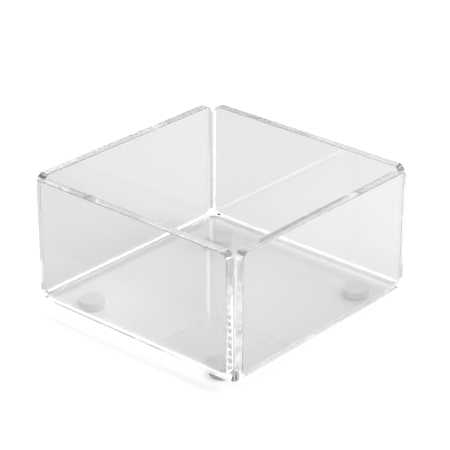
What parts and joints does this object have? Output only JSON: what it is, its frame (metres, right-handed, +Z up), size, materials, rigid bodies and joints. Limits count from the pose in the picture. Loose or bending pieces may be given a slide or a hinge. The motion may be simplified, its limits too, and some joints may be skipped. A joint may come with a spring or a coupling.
{
  "type": "memo pad holder",
  "caption": "Open-topped square box of clear acrylic panels joined at their inner edges, on small round rubber feet, for a stack of square paper notes.",
  "frame": {"origin": "on the table, under the middle of the box, level with the bottoms of the feet", "axes": "+Z up, +X along the front wall towards the right wall, -Y out of the front wall"},
  "size_m": [0.1, 0.1, 0.055],
  "materials": {
    "acrylic": "clear cast acrylic sheet with polished edges",
    "cement": "clear set acrylic cement",
    "foot_rubber": "milky soft polyurethane, smooth moulded",
    "adhesive": "thin clear adhesive film"
  },
  "bodies": {
    "root": {"base_panel": "acrylic", "front_wall": "acrylic", "right_wall": "acrylic", "back_wall": "acrylic", "left_wall": "acrylic", "front_base_cement": "cement", "right_base_cement": "cement", "back_base_cement": "cement", "left_base_cement": "cement", "front_corner_cement": "cement", "right_corner_cement": "cement", "back_corner_cement": "cement", "left_corner_cement": "cement", "front_foot": "foot_rubber", "right_foot": "foot_rubber", "back_foot": "foot_rubber", "left_foot": "foot_rubber", "front_foot_adhesive": "adhesive", "right_foot_adhesive": "adhesive", "back_foot_adhesive": "adhesive", "left_foot_adhesive": "adhesive"}
  },
  "joints": []
}
